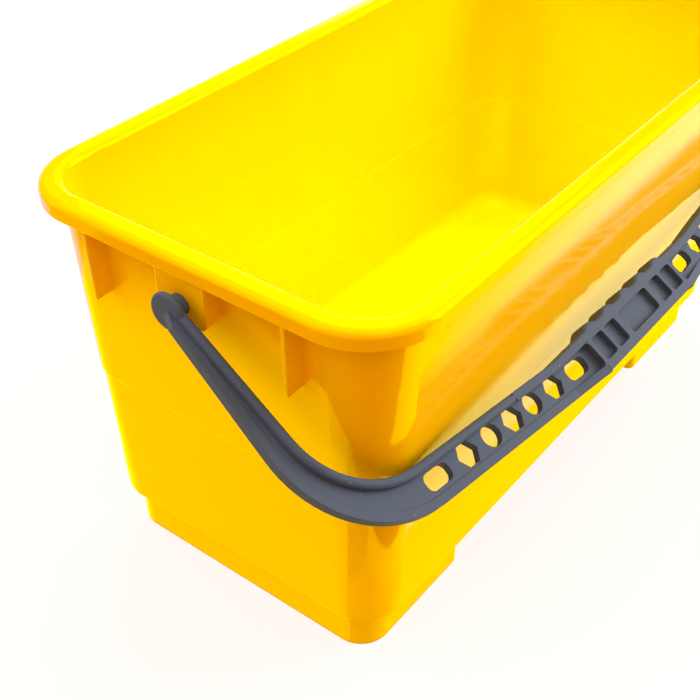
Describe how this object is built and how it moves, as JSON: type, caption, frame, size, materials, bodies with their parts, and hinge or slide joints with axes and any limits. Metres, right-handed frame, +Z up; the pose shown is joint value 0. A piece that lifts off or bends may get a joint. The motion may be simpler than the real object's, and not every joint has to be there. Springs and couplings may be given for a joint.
{
  "type": "window cleaning bucket",
  "caption": "Long rectangular plastic tub with a flanged rim, standing on box feet, with a swinging carrying handle that has a finger-waved grip.",
  "frame": {"origin": "on the plane the feet stand on, under the middle of the bucket's bounding box with the handle at rest against the front wall", "axes": "+X along the long side, +Y from the front wall, where the handle rests, to the back, +Z up"},
  "size_m": [0.556, 0.2884, 0.266],
  "materials": {
    "tub_plastic": "glossy yellow polypropylene, slightly translucent",
    "handle_plastic": "dark grey-black moulded plastic, satin"
  },
  "bodies": {
    "tub": {"tub": "tub_plastic"},
    "handle": {"handle": "handle_plastic"}
  },
  "joints": [
    {"name": "handle_swing", "type": "hinge", "parent": "tub", "child": "handle", "pos_m": [0, 0.0132, 0.238], "axis": [-1, 0, 0], "range_deg": [0, 246.7]}
  ]
}
